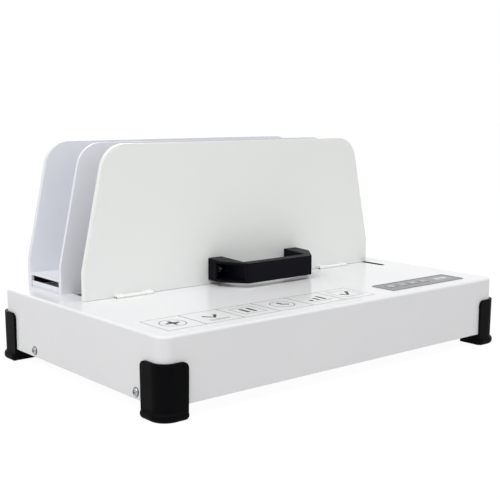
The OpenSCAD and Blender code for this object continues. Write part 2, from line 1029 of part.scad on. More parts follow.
module guide_lug() {
    color(steel)
        translate([slot_x, lug_y, apron_z]) {
            cylinder(d = 2, h = apron_t);
            translate([0, 0, apron_t])
                cylinder(d = 2.4, h = z_top - 0.5 - apron_z - apron_t);
        }
}

// The carriage's part of one hinge: a barrel half sunk in the deck, a strap and a leaf before the web.
module hinge_knuckle() {
    difference() {
        union() {
            translate([-knuckle_half, hinge_y, hinge_z])
                rotate([0, 90, 0])
                    cylinder(d = barrel_diameter, h = 2 * knuckle_half);
            translate([-knuckle_half, hinge_y, hinge_low])
                cube([2 * knuckle_half, web_y - hinge_y, strap_t]);
            translate([-knuckle_half, web_y - strap_t, apron_z + apron_t])
                cube([2 * knuckle_half, strap_t, hinge_low + strap_t - apron_z - apron_t]);
        }
        translate([-knuckle_half - eps, hinge_y, hinge_z])
            rotate([0, 90, 0])
                cylinder(d = pin_diameter + 0.1, h = 2 * knuckle_half + 2 * eps);
    }
}

module hinge_knuckle_left() {
    color(white)
        translate([barrel_shift - barrel_offset, 0, 0])
            hinge_knuckle();
}

module hinge_knuckle_right() {
    color(white)
        translate([barrel_shift + barrel_offset, 0, 0])
            hinge_knuckle();
}

// One end of a hinge barrel, joined to the plate's front face.
module barrel_end(end_len) {
    translate([-end_len / 2, hinge_y, hinge_z])
        rotate([0, 90, 0])
            cylinder(d = barrel_diameter, h = end_len);
    translate([-end_len / 2, hinge_y, hinge_z + barrel_diameter / 2 - 1.6])
        cube([end_len, plate_y + eps - hinge_y, 1.6]);
}

module clamp_plate() {
    end_len = barrel_length / 2 - knuckle_half - knuckle_gap;
    end_mid = knuckle_half + knuckle_gap + end_len / 2;
    color(white)
    difference() {
        union() {
            upright_plate(plate_gap, plate_y, clamp_sheet);
            for (sx = [-1, 1], s = [-1, 1])
                translate([barrel_shift + sx * barrel_offset + s * end_mid, 0, 0])
                    barrel_end(end_len);
        }
        for (sx = [-1, 1])
            translate([barrel_shift + sx * barrel_offset - barrel_length / 2 - eps, hinge_y, hinge_z])
                rotate([0, 90, 0])
                    cylinder(d = pin_diameter, h = barrel_length + 2 * eps);
        for (s = [-1, 1])
            translate([handle_shift + s * (handle_half - 8), plate_y - eps, handle_z + handle_height / 2])
                rotate([-90, 0, 0])
                    cylinder(d = 4, h = 3.6 + eps);
    }
}

module hinge_pin() {
    translate([1 - barrel_length / 2, hinge_y, hinge_z])
        rotate([0, 90, 0])
            cylinder(d = pin_diameter, h = barrel_length - 2);
}

module hinge_pin_left() {
    color([0.5, 0.51, 0.53])
        translate([barrel_shift - barrel_offset, 0, 0])
            hinge_pin();
}

module hinge_pin_right() {
    color([0.5, 0.51, 0.53])
        translate([barrel_shift + barrel_offset, 0, 0])
            hinge_pin();
}

// Plan of the handle: X along the plate, Y out from it.
module handle_plan() {
    h = handle_half;
    r = handle_reach;
    polygon([[-h, 0], [-h, 18], [-h + 15, r], [h - 15, r], [h, 18], [h, 0], [h - 15, 0], [h - 16, r - 8],
        [-h + 16, r - 8], [-h + 15, 0]]);
}

// Plan of the hollow in one leg, open along the leg's slanted side.
module handle_pocket() {
    h = handle_half;
    r = handle_reach;
    polygon([[-h + 2.5, 3.5], [-h + 12.4, 3.5], [-h + 13.4, r - 8], [-h + 13.4, r - 2.5], [-h + 4, r - 2.5],
        [-h - 4, 20], [-h - 4, 11.2], [-h + 2.5, 11.2]]);
}

// All that lies above the handle's top face, which falls towards the bar.
module handle_above(drop) {
    z = handle_height - drop;
    y = handle_reach + 5;
    rotate([90, 0, 90])
        linear_extrude(2 * handle_length, center = true)
            polygon([[0, z], [y, z - handle_fall * y / handle_reach], [y, z + 9], [0, z + 9]]);
}

module handle() {
    color(black)
    translate([handle_shift, plate_y, handle_z])
        mirror([0, 1, 0])
            difference() {
                linear_extrude(handle_height)
                    handle_plan();
                handle_above(0);
                for (m = [0, 1])
                    mirror([m, 0, 0])
                        difference() {
                            translate([0, 0, 2])
                                linear_extrude(handle_height)
                                    handle_pocket();
                            handle_above(2.2);
                        }
                for (s = [-1, 1])
                    translate([s * (handle_half - 8), -eps, handle_height / 2])
                        rotate([-90, 0, 0])
                            cylinder(d = 4.2, h = 8);
            }
}

module handle_screws() {
    color(steel)
        for (s = [-1, 1])
            translate([handle_shift + s * (handle_half - 8), plate_y - 3.5, handle_z + handle_height / 2])
                rotate([90, 0, 0])
                    pan_screw(4, 7.4, 2.6, 7);
}

housing();
base_plate();
foot_front_left();
foot_front_right();
foot_rear_left();
foot_rear_right();
foot_screws();
case_screws();
rear_jaw();
back_plate();
rack_shelf();
rack_screws();
heater_tray();
insulation_board();
heating_element();
heater_plate();
tray_standoffs();
thermostat();
thermal_fuse();
rod_bracket_left();
rod_bracket_right();
guide_rod_left();
guide_rod_right();
slot_liner();
guide_strip();
control_bezel();
display_window();
display_module();
control_board();
key_switches();
board_screws();
key_1();
key_2();
key_3();
key_4();
power_board();
board_spacers();
transformer();
relay();
mains_inlet();
inlet_pins();
inlet_screws();
switch_case();
rocker();
fuse_holder();
carriage();
slide_block_left();
slide_block_right();
bush_left();
bush_right();
block_screws();
guide_lug();
hinge_knuckle_left();
hinge_knuckle_right();
clamp_plate();
hinge_pin_left();
hinge_pin_right();
handle();
handle_screws();
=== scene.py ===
"""Looks of a hot melt binding machine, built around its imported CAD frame."""
import json
import math

import bpy
from mathutils import Matrix, Vector

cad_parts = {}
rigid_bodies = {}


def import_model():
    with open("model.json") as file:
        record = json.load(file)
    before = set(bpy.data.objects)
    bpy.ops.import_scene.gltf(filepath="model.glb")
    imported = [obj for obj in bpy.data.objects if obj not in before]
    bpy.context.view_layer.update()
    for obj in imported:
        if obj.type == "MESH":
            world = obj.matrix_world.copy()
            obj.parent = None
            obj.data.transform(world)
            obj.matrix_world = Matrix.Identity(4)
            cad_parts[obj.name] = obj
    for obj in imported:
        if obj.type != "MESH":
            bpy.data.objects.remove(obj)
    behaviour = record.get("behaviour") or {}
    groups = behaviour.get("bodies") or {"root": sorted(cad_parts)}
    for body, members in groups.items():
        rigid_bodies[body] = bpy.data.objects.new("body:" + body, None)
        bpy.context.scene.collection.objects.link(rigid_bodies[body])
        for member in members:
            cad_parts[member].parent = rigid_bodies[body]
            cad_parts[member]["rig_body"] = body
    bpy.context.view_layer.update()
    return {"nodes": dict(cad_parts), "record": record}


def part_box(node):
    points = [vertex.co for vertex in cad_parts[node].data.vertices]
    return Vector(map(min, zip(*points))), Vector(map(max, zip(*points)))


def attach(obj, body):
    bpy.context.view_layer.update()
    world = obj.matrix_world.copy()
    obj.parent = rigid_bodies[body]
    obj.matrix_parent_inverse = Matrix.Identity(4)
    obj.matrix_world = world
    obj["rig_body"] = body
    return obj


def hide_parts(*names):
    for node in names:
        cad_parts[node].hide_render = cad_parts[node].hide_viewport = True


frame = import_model()
nodes = frame["nodes"]
slot_of = {part["node"]: part["material_slot"] for part in frame["record"]["subparts"]}

# Objects are in metres, and the sizes below in millimetres
MM = 0.001
# Faces that meet at less than this are shaded as one round
SMOOTH_ANGLE = math.radians(40)


# Colours and nodes

def srgb(code):
    """Turns an sRGB hex value into the linear colour that the shaders take."""
    channels = [int(code[i:i + 2], 16) / 255 for i in (1, 3, 5)]
    return (*[c / 12.92 if c <= 0.04045 else ((c + 0.055) / 1.055) ** 2.4 for c in channels], 1.0)


def add(tree, kind, values=None, links=None, **settings):
    """Adds a node with its settings, its socket values and the links that come in."""
    node = tree.nodes.new(kind)
    for name, value in settings.items():
        setattr(node, name, value)
    for socket, value in (values or {}).items():
        node.inputs[socket].default_value = value
    for socket, source in (links or {}).items():
        tree.links.new(source, node.inputs[socket])
    return node


def start_finish(name, **values):
    """Starts a material; returns it with its tree, its shader and the object coordinates."""
    finish = bpy.data.materials.new(name)
    finish.use_nodes = True
    tree = finish.node_tree
    tree.nodes.clear()
    shader = add(tree, "ShaderNodeBsdfPrincipled", {k.replace("_", " "): v for k, v in values.items()})
    add(tree, "ShaderNodeOutputMaterial", links={"Surface": shader.outputs["BSDF"]})
    place = add(tree, "ShaderNodeTexCoord").outputs["Object"]
    return finish, tree, shader, place


def per_mm(size):
    """Texture scale whose features are about that many millimetres across."""
    return 1 / (size * MM)


# Finishes: each takes its two colours, how rough it is and how strongly it mirrors

def stoved_enamel(name, light, dark, rough, mirror=0.5):
    # Powder coat stoved on sheet steel: it flows nearly flat, so the deck mirrors what stands on
    # it, and a faint orange peel softens the mirror image.
    finish, tree, shader, place = start_finish(name, IOR=1.5, Specular_IOR_Level=mirror)
    cloud = add(tree, "ShaderNodeTexNoise", {"Scale": per_mm(70), "Detail": 2}, {"Vector": place})
    tone = add(tree, "ShaderNodeMix", {6: srgb(light), 7: srgb(dark)}, {0: cloud.outputs["Fac"]},
               data_type="RGBA")
    tree.links.new(tone.outputs[2], shader.inputs["Base Color"])
    rub = add(tree, "ShaderNodeTexNoise", {"Scale": per_mm(24), "Detail": 3}, {"Vector": place})
    sheen = add(tree, "ShaderNodeMapRange", {"To Min": rough - 0.02, "To Max": rough + 0.02},
                {"Value": rub.outputs["Fac"]})
    tree.links.new(sheen.outputs[0], shader.inputs["Roughness"])
    # real orange peel is about 1 mm, drawn at 3 mm to show at all
    peel = add(tree, "ShaderNodeTexNoise", {"Scale": per_mm(3), "Detail": 1}, {"Vector": place})
    bump = add(tree, "ShaderNodeBump", {"Strength": 0.015, "Distance": 0.1 * MM},
               {"Height": peel.outputs["Fac"]})
    tree.links.new(bump.outputs["Normal"], shader.inputs["Normal"])
    return finish


def moulded_plastic(name, light, dark, rough, mirror=0.5, grit=0.9, depth=0.35):
    # ABS or nylon from a spark-eroded mould: an even fine grain that breaks the highlight up and
    # greys it.
    finish, tree, shader, place = start_finish(name, IOR=1.52, Specular_IOR_Level=mirror)
    cloud = add(tree, "ShaderNodeTexNoise", {"Scale": per_mm(18), "Detail": 4}, {"Vector": place})
    tone = add(tree, "ShaderNodeMix", {6: srgb(light), 7: srgb(dark)}, {0: cloud.outputs["Fac"]},
               data_type="RGBA")
    tree.links.new(tone.outputs[2], shader.inputs["Base Color"])
    sheen = add(tree, "ShaderNodeMapRange", {"To Min": rough - 0.06, "To Max": rough + 0.08},
                {"Value": cloud.outputs["Fac"]})
    tree.links.new(sheen.outputs[0], shader.inputs["Roughness"])
    # real grain is about 0.3 mm, drawn coarser so that it shows
    grain = add(tree, "ShaderNodeTexNoise", {"Scale": per_mm(grit), "Detail": 2}, {"Vector": place})
    bump = add(tree, "ShaderNodeBump", {"Strength": depth, "Distance": 0.06 * MM},
               {"Height": grain.outputs["Fac"]})
    tree.links.new(bump.outputs["Normal"], shader.inputs["Normal"])
    return finish


def plated_steel(name, light, dark, rough):
    # Plated, blued or bare bright metal: a mottled spangle, and fine handling scratches that blur
    # the shine in patches.
    finish, tree, shader, place = start_finish(name, Metallic=1.0)
    spangle = add(tree, "ShaderNodeTexVoronoi", {"Scale": per_mm(5)}, {"Vector": place})
    tone = add(tree, "ShaderNodeMix", {6: srgb(light), 7: srgb(dark)},
               {0: spangle.outputs["Distance"]}, data_type="RGBA")
    tree.links.new(tone.outputs[2], shader.inputs["Base Color"])
    smear = add(tree, "ShaderNodeTexNoise", {"Scale": per_mm(4), "Detail": 5}, {"Vector": place})
    sheen = add(tree, "ShaderNodeMapRange", {"To Min": rough - 0.07, "To Max": rough + 0.12},
                {"Value": smear.outputs["Fac"]})
    tree.links.new(sheen.outputs[0], shader.inputs["Roughness"])
    bump = add(tree, "ShaderNodeBump", {"Strength": 0.1, "Distance": 0.02 * MM},
               {"Height": smear.outputs["Fac"]})
    tree.links.new(bump.outputs["Normal"], shader.inputs["Normal"])
    return finish


def ringed_nickel(name, light, dark, painted_shade, seat, fade):
    # Nickel plated screw heads: bright domes, ringed by painted shade where they meet the
    # ends of the housing. Seat is how far out along X that is, and the painted shade fades from there.
    finish, tree, shader, place = start_finish(name, Metallic=1.0)
    axes = add(tree, "ShaderNodeSeparateXYZ", links={0: place})
    out = add(tree, "ShaderNodeMath", links={0: axes.outputs["X"]}, operation="ABSOLUTE")
    out_of_shade = add(tree, "ShaderNodeMapRange", {"From Min": seat * MM, "From Max": (seat + fade) * MM},
                {"Value": out.outputs[0]}, interpolation_type="SMOOTHSTEP")
    smear = add(tree, "ShaderNodeTexNoise", {"Scale": per_mm(2), "Detail": 4}, {"Vector": place})
    plate = add(tree, "ShaderNodeMix", {6: srgb(light), 7: srgb(dark)}, {0: smear.outputs["Fac"]},
                data_type="RGBA")
    # painted shade: the head darkens to near black towards its seat
    tone = add(tree, "ShaderNodeMix", {6: srgb(painted_shade)}, {0: out_of_shade.outputs[0], 7: plate.outputs[2]},
               data_type="RGBA")
    tree.links.new(tone.outputs[2], shader.inputs["Base Color"])
    shade_ring_rough, plate_rough = 0.6, 0.16
    sheen = add(tree, "ShaderNodeMapRange", {"To Min": shade_ring_rough, "To Max": plate_rough},
                {"Value": out_of_shade.outputs[0]})
    tree.links.new(sheen.outputs[0], shader.inputs["Roughness"])
    bump = add(tree, "ShaderNodeBump", {"Strength": 0.08, "Distance": 0.02 * MM},
               {"Height": smear.outputs["Fac"]})
    tree.links.new(bump.outputs["Normal"], shader.inputs["Normal"])
    return finish


def lined_metal(name, light, dark, rough, pitch, axis):
    # Ground rods, machined plate and stacked laminations keep fine parallel lines that streak the
    # reflection.
    finish, tree, shader, place = start_finish(name, Metallic=1.0)
    # this texture draws about three bands a unit: a sixth of the scale sets them at twice the pitch,
    # coarse enough to show
    coarse = per_mm(pitch) / 6
    lines = add(tree, "ShaderNodeTexWave", {"Scale": coarse, "Distortion": 1.5, "Detail": 2},
                {"Vector": place}, bands_direction=axis)
    tone = add(tree, "ShaderNodeMix", {6: srgb(light), 7: srgb(dark)}, {0: lines.outputs["Fac"]},
               data_type="RGBA")
    tree.links.new(tone.outputs[2], shader.inputs["Base Color"])
    sheen = add(tree, "ShaderNodeMapRange", {"To Min": rough - 0.05, "To Max": rough + 0.1},
                {"Value": lines.outputs["Fac"]})
    tree.links.new(sheen.outputs[0], shader.inputs["Roughness"])
    bump = add(tree, "ShaderNodeBump", {"Strength": 0.15, "Distance": 0.02 * MM},
               {"Height": lines.outputs["Fac"]})
    tree.links.new(bump.outputs["Normal"], shader.inputs["Normal"])
    return finish


def mineral_board(name, light, dark, grit, rough):
    # Pressed mineral sheets, fired insulators, and the black sheet of painted shade under the shelf:
    # chalky, flecked and nearly without gloss.
    finish, tree, shader, place = start_finish(name, IOR=1.5, Roughness=rough)
    fleck = add(tree, "ShaderNodeTexNoise", {"Scale": per_mm(grit), "Detail": 6, "Roughness": 0.7},
                {"Vector": place})
    tone = add(tree, "ShaderNodeMix", {6: srgb(light), 7: srgb(dark)}, {0: fleck.outputs["Fac"]},
               data_type="RGBA")
    tree.links.new(tone.outputs[2], shader.inputs["Base Color"])
    bump = add(tree, "ShaderNodeBump", {"Strength": 0.3, "Distance": 0.1 * MM},
               {"Height": fleck.outputs["Fac"]})
    tree.links.new(bump.outputs["Normal"], shader.inputs["Normal"])
    return finish


def printed_film(name, light, dark, rough, mirror=0.5):
    # Film, laminate and screen ink, all laid flat: more even than the enamel, with a slight ripple
    # that bends the shine.
    finish, tree, shader, place = start_finish(name, IOR=1.57, Specular_IOR_Level=mirror)
    ripple = add(tree, "ShaderNodeTexNoise", {"Scale": per_mm(14), "Detail": 2}, {"Vector": place})
    tone = add(tree, "ShaderNodeMix", {6: srgb(light), 7: srgb(dark)}, {0: ripple.outputs["Fac"]},
               data_type="RGBA")
    tree.links.new(tone.outputs[2], shader.inputs["Base Color"])
    sheen = add(tree, "ShaderNodeMapRange", {"To Min": rough - 0.04, "To Max": rough + 0.06},
                {"Value": ripple.outputs["Fac"]})
    tree.links.new(sheen.outputs[0], shader.inputs["Roughness"])
    bump = add(tree, "ShaderNodeBump", {"Strength": 0.05, "Distance": 0.1 * MM},
               {"Height": ripple.outputs["Fac"]})
    tree.links.new(bump.outputs["Normal"], shader.inputs["Normal"])
    return finish


finishes = {
    # cool white housing whose deck holds a faint mirror image
    "white_coat": stoved_enamel("white_stoved_enamel", "#EBEBEC", "#E7E7E9", rough=0.15, mirror=0.12),
    # clamp plate and hinges: a white a touch greener than the housing, with a softer shine
    "grey_coat": stoved_enamel("pale_stoved_enamel", "#F1F3F1", "#EDEFED", rough=0.24),
    # feet, and the slot liner whose black is painted shade in the slot: dull black with hardly a highlight
    "black_plastic": moulded_plastic("black_moulded_abs", "#0B0B0D", "#08080A", rough=0.45, mirror=0.03),
    # carriage, brackets, base plate and screws: bright grey with a spangle
    "zinc_steel": plated_steel("zinc_plated_steel", "#D0D1D2", "#B4B6B9", rough=0.3),
    # guide rods: a clean streaked shine
    "ground_steel": lined_metal("ground_steel", "#D6D7D9", "#C2C4C8", rough=0.16, pitch=0.6, axis="Y"),
    # heater plate: softer streaks from the cutter
    "aluminium": lined_metal("machined_aluminium", "#D2D3D4", "#BFC1C4", rough=0.3, pitch=1.2, axis="Y"),
    # heating element: amber flakes
    "mica": mineral_board("mica_sheet", "#9C835B", "#7E6843", grit=2.5, rough=0.5),
    # insulation board: cream, dry and fibrous
    "fibre_board": mineral_board("fibre_board", "#DDD7C8", "#CFC8B6", grit=1.5, rough=0.85),
    # stand-offs and thermal fuse: a pale fired body with fine specks
    "ceramic": mineral_board("fired_steatite", "#E8E3D8", "#DDD7CA", grit=1.0, rough=0.55),
    # control panel: flat mid grey
    "grey_plastic": printed_film("grey_polyester_film", "#909093", "#88888B", rough=0.36, mirror=0.2),
    # keys: a shade lighter than the panel round them
    "key_plastic": moulded_plastic("pale_key_abs", "#A2A2A5", "#9A9A9D", rough=0.4, mirror=0.2,
                                   grit=0.7, depth=0.2),
    # display: a bluish grey, smoother than the panel
    "window": printed_film("smoked_display_acrylic", "#94979A", "#8D9093", rough=0.3, mirror=0.2),
    # slide blocks, key switches and modules inside: charcoal with a grey bloom
    "dark_plastic": moulded_plastic("dark_grey_nylon", "#38383B", "#2F2F32", rough=0.45),
    # boards: deep green under varnish
    "circuit_board": printed_film("green_laminate", "#1F6B41", "#185634", rough=0.3),
    # inlet pins, spacers and bushes: warm and bright
    "brass": plated_steel("plain_brass", "#D0B26A", "#BC9C52", rough=0.28),
    # transformer: brown varnish over the edges of the stack
    "transformer_iron": lined_metal("varnished_laminations", "#6A6259", "#4C463F", rough=0.45, pitch=0.8,
                                    axis="X"),
    # guide strip: white, with more shine than the deck that it lies on
    "strip_film": printed_film("white_polyester_film", "#ECECED", "#E9E9EA", rough=0.2),
}
# rear plates and shelf: a bluer white than the clamp plate, half matt
cool_enamel = stoved_enamel("cool_stoved_enamel", "#ECEEF3", "#E8EAF0", rough=0.3, mirror=0.3)
# hinge pins: dark ends that stand out from the white barrels
blued_steel = plated_steel("blued_pin_steel", "#3C3E42", "#2C2E32", rough=0.35)
# handle: black with a trace of violet, its flats paler than the feet
handle_abs = moulded_plastic("satin_handle_abs", "#0E0C14", "#0A080F", rough=0.42, mirror=0.06, depth=0.2)
# screws in the handle's pockets: small bright points
nickel = plated_steel("nickel_plated_steel", "#A9AAAD", "#8E9093", rough=0.2)
# rear fittings: satin black, so that their steps show
fitting_nylon = moulded_plastic("satin_fitting_nylon", "#161618", "#111113", rough=0.36, mirror=0.25,
                                depth=0.15)
# rocker: polished by fingers, with a clear highlight
rocker_nylon = moulded_plastic("polished_rocker_nylon", "#18181A", "#131315", rough=0.2, mirror=0.35,
                               depth=0.05)
own_finish = {"rear_jaw": cool_enamel, "back_plate": cool_enamel, "rack_shelf": cool_enamel,
              "hinge_pin_left": blued_steel, "hinge_pin_right": blued_steel, "handle_screws": nickel,
              "handle": handle_abs, "mains_inlet": fitting_nylon, "switch_case": fitting_nylon,
              "fuse_holder": fitting_nylon, "rocker": rocker_nylon}
for name, node in nodes.items():
    node.data.materials.clear()
    node.data.materials.append(own_finish.get(name, finishes[slot_of[name]]))


# Broken edges

MERGE_GAP = 0.002
FLAT_ANGLE = math.radians(0.3)
EDGE_ANGLE = math.radians(32)


def soften(name, width, segments):
    """Stands a copy with broken edges in for a CAD node."""
    source = nodes[name]
    body = source["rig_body"]
    bpy.ops.object.select_all(action="DESELECT")
    piece = bpy.data.objects.new(name + "_soft", source.data.copy())
    bpy.context.scene.collection.objects.link(piece)
    piece.select_set(True)
    bpy.context.view_layer.objects.active = piece
    bpy.ops.object.mode_set(mode="EDIT")
    bpy.ops.mesh.customdata_custom_splitnormals_clear()
    bpy.ops.mesh.select_all(action="SELECT")
    bpy.ops.mesh.remove_doubles(threshold=MERGE_GAP * MM)
    bpy.ops.mesh.dissolve_limited(angle_limit=FLAT_ANGLE)
    bpy.ops.object.mode_set(mode="OBJECT")
    bevel = piece.modifiers.new("edges", "BEVEL")
    bevel.width = width * MM
    bevel.segments = segments
    bevel.limit_method = "ANGLE"
    bevel.angle_limit = EDGE_ANGLE
    bevel.miter_outer = "MITER_ARC"
    bpy.ops.object.modifier_apply(modifier="edges")
    bpy.ops.object.shade_smooth_by_angle(angle=SMOOTH_ANGLE)
    weight = piece.modifiers.new("normals", "WEIGHTED_NORMAL")
    weight.keep_sharp = True
    bpy.ops.object.modifier_apply(modifier="normals")
    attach(piece, body)
    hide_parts(name)


# each piece with the width of its broken edges and the faces across them
for name, width, segments in (
        ("housing", 0.15, 1), ("clamp_plate", 0.3, 2), ("rear_jaw", 0.45, 2), ("back_plate", 0.5, 2),
        ("rack_shelf", 0.25, 2), ("handle", 0.5, 2), ("foot_front_left", 0.5, 2),
        ("foot_front_right", 0.5, 2), ("foot_rear_left", 0.5, 2), ("foot_rear_right", 0.5, 2),
        ("hinge_knuckle_left", 0.12, 1), ("hinge_knuckle_right", 0.12, 1), ("hinge_pin_left", 0.2, 2),
        ("hinge_pin_right", 0.2, 2), ("slot_liner", 0.12, 1), ("control_bezel", 0.15, 2),
        ("rack_screws", 0.3, 2), ("handle_screws", 0.35, 2), ("inlet_screws", 0.25, 2),
        ("mains_inlet", 0.3, 2), ("inlet_pins", 0.25, 2), ("switch_case", 0.3, 2), ("rocker", 0.3, 2),
        ("fuse_holder", 0.3, 2), ("key_1", 0.3, 2), ("key_2", 0.3, 2), ("key_3", 0.3, 2),
        ("key_4", 0.3, 2)):
    soften(name, width, segments)


# Screws in the ends of the housing

def domed_screw(head, rise, shank, length):
    """A screw standing up along Z, its seat at the origin: a low dome with a cross cut, and a shank."""
    cross_long = 0.6 * head
    cross_wide = 0.13 * head
    above_seat = 0.01
    bpy.ops.object.select_all(action="DESELECT")
    bpy.ops.mesh.primitive_uv_sphere_add(segments=32, ring_count=24, radius=head * MM / 2)
    screw = bpy.context.active_object
    bpy.ops.object.mode_set(mode="EDIT")
    bpy.ops.mesh.select_all(action="SELECT")
    bpy.ops.mesh.bisect(plane_co=(0, 0, 0), plane_no=(0, 0, 1), clear_inner=True, use_fill=True)
    bpy.ops.mesh.inset(thickness=(head - shank) * MM / 2)
    bpy.ops.mesh.extrude_region_move(TRANSFORM_OT_translate={"value": (0, 0, -length * MM)})
    bpy.ops.object.mode_set(mode="OBJECT")
    for vertex in screw.data.vertices:
        vertex.select = vertex.co.z > above_seat * MM
    bpy.ops.object.mode_set(mode="EDIT")
    bpy.ops.transform.resize(value=(1, 1, 2 * rise / head), center_override=(0, 0, 0))
    bpy.ops.object.mode_set(mode="OBJECT")
    for turn in (0, 90):
        bpy.ops.mesh.primitive_cube_add(size=1, location=(0, 0, rise * MM))
        blade = bpy.context.active_object
        blade.scale = (cross_long * MM, cross_wide * MM, rise * MM)
        blade.rotation_euler = (0, 0, math.radians(turn))
        cut = screw.modifiers.new("cross", "BOOLEAN")
        cut.object = blade
        bpy.context.view_layer.objects.active = screw
        bpy.ops.object.modifier_apply(modifier="cross")
        bpy.ops.object.select_all(action="DESELECT")
        blade.select_set(True)
        bpy.ops.object.delete()
    return screw


def case_screw_set():
    """Two screws in each end of the housing, their domes as far out as the plain heads."""
    low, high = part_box("case_screws")
    head = 7
    rise = 2.2
    shank = 4
    length = 3
    shade_fade = 1.4
    mid_z = (low[2] + high[2]) / 2
    ends = [(side, y) for side in (-1, 1) for y in (low[1] + head * MM / 2, high[1] - head * MM / 2)]
    first = domed_screw(head, rise, shank, length)
    screws = [first]
    for _ in ends[1:]:
        bpy.ops.object.select_all(action="DESELECT")
        first.select_set(True)
        bpy.context.view_layer.objects.active = first
        bpy.ops.object.duplicate()
        screws.append(bpy.context.active_object)
    bpy.ops.object.select_all(action="DESELECT")
    for screw, (side, y) in zip(screws, ends):
        screw.rotation_euler = (0, side * math.pi / 2, 0)
        screw.location = (side * (high[0] - rise * MM), y, mid_z)
        screw.select_set(True)
    bpy.context.view_layer.objects.active = first
    bpy.ops.object.transform_apply(location=True, rotation=True, scale=True)
    bpy.ops.object.join()
    first.name = "case_screws_domed"
    bpy.ops.object.shade_smooth_by_angle(angle=SMOOTH_ANGLE)
    first.data.materials.clear()
    # the third colour is the painted shade at the seat of each head
    first.data.materials.append(ringed_nickel("nickel_screw_domes", "#B9BABD", "#9C9EA2", "#1E1E20",
                                              seat=high[0] / MM - rise, fade=shade_fade))
    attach(first, nodes["case_screws"]["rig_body"])
    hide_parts("case_screws")


case_screw_set()


# Feet

def toe_noses():
    """Rounds the cut ends of the four toes, which run out under the wings of the feet."""
    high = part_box("housing")[1]
    # from the housing's corner to the end of a toe, along the front or rear and along the ends
    reach_x = 18.5
    reach_y = 20.5
    # how far the middle of a toe lies outside the housing, and half of its height
    flare = 0.9
    half_z = 3.5
    # the nose's half width and its length, and about how far it runs back into the toe
    round_out = 3.0
    round_on = 3.4
    tail = 2
    noses = []
    for sx, sy in ((-1, -1), (1, -1), (-1, 1), (1, 1)):
        for along_x in (True, False):
            bpy.ops.object.select_all(action="DESELECT")
            bpy.ops.mesh.primitive_uv_sphere_add(segments=28, ring_count=18, radius=half_z * MM)
            nose = bpy.context.active_object
            turn = (sx, 0, 0) if along_x else (0, sy, 0)
            stretch = (round_on, round_out) if along_x else (round_out, round_on)
            bpy.ops.object.mode_set(mode="EDIT")
            bpy.ops.mesh.select_all(action="SELECT")
            bpy.ops.mesh.bisect(plane_co=(0, 0, 0), plane_no=turn, clear_outer=True, use_fill=True)
            bpy.ops.mesh.extrude_region_move(
                TRANSFORM_OT_translate={"value": [tail * MM * t for t in turn]})
            bpy.ops.mesh.select_all(action="SELECT")
            bpy.ops.transform.resize(value=(stretch[0] / half_z, stretch[1] / half_z, 1),
                                     center_override=(0, 0, 0))
            bpy.ops.mesh.normals_make_consistent(inside=False)
            bpy.ops.object.mode_set(mode="OBJECT")
            end_x = high[0] - reach_x * MM if along_x else high[0] + flare * MM
            end_y = high[1] + flare * MM if along_x else high[1] - reach_y * MM
            nose.location = (sx * end_x, sy * end_y, half_z * MM)
            noses.append(nose)
    bpy.ops.object.select_all(action="DESELECT")
    for nose in noses:
        nose.select_set(True)
    bpy.context.view_layer.objects.active = noses[0]
    bpy.ops.object.transform_apply(location=True, rotation=True, scale=True)
    bpy.ops.object.join()
    piece = bpy.context.active_object
    piece.name = "toe_noses"
    bpy.ops.object.shade_smooth_by_angle(angle=SMOOTH_ANGLE)
    piece.data.materials.clear()
    piece.data.materials.append(finishes["black_plastic"])
    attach(piece, nodes["foot_front_left"]["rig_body"])


toe_noses()


# Shelf

def trim_block(name, low, high, edge):
    """A block between two corners in metres, its edges rounded over."""
    bpy.ops.object.select_all(action="DESELECT")
    bpy.ops.mesh.primitive_cube_add(size=1)
    block = bpy.context.active_object
    block.name = name
    block.scale = [h - l for l, h in zip(low, high)]
    block.location = [(h + l) / 2 for l, h in zip(low, high)]
    bpy.ops.object.transform_apply(location=True, rotation=True, scale=True)
    bpy.ops.object.mode_set(mode="EDIT")
    bpy.ops.mesh.select_all(action="SELECT")
    bpy.ops.mesh.bevel(offset=edge * MM, segments=2)
    bpy.ops.object.mode_set(mode="OBJECT")
    bpy.ops.object.shade_smooth_by_angle(angle=SMOOTH_ANGLE)
    return block


def shelf_trim():
    """A black sheet of painted shade inside the shelf's rear leg, and a low skirt that closes the foot of
    each end.
    """
    low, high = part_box("rack_shelf")
    body = nodes["rack_shelf"]["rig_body"]
    leg_sheet = 1.5
    shade_sheet_thick = 0.45
    shade_sheet_lift = 1.7
    shade_sheet_end = 2.5
    shade_sheet_clear = 0.1
    shade_sheet_edge = 0.12
    skirt_rise = 5.2
    skirt_sheet = 1.0
    skirt_inset = 0.5
    skirt_edge = 0.3
    back = high[1] - leg_sheet * MM
    shade_sheet = trim_block("shelf_painted_shade",
                     (low[0] + shade_sheet_end * MM, back - shade_sheet_thick * MM, low[2] + shade_sheet_lift * MM),
                     (high[0] - shade_sheet_end * MM, back, high[2] - (leg_sheet + shade_sheet_clear) * MM), shade_sheet_edge)
    # painted shade: a black, dull sheet, so that the slot under the shelf reads as black
    shade_sheet.data.materials.append(mineral_board("black_painted_shade", "#0C0C0D", "#050506", grit=0.8, rough=0.95))
    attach(shade_sheet, body)
    for side, outer in (("left", low[0] + skirt_inset * MM),
                        ("right", high[0] - (skirt_inset + skirt_sheet) * MM)):
        plate = trim_block("shelf_skirt_" + side, (outer, low[1] + leg_sheet * MM, low[2]),
                           (outer + skirt_sheet * MM, back - shade_sheet_thick * MM, low[2] + skirt_rise * MM),
                           skirt_edge)
        plate.data.materials.append(cool_enamel)
        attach(plate, body)


shelf_trim()


# Print: strokes are lists of points in millimetres

INK_RISE = 0.03
CLOSED_GAP = 0.001


def ring(x, y, radius, steps=28):
    """A closed circle."""
    turns = [2 * math.pi * i / steps for i in range(steps + 1)]
    return [(x + radius * math.cos(a), y + radius * math.sin(a)) for a in turns]


def frame_line(x0, y0, x1, y1):
    """A closed rectangle."""
    return [(x0, y0), (x1, y0), (x1, y1), (x0, y1), (x0, y0)]


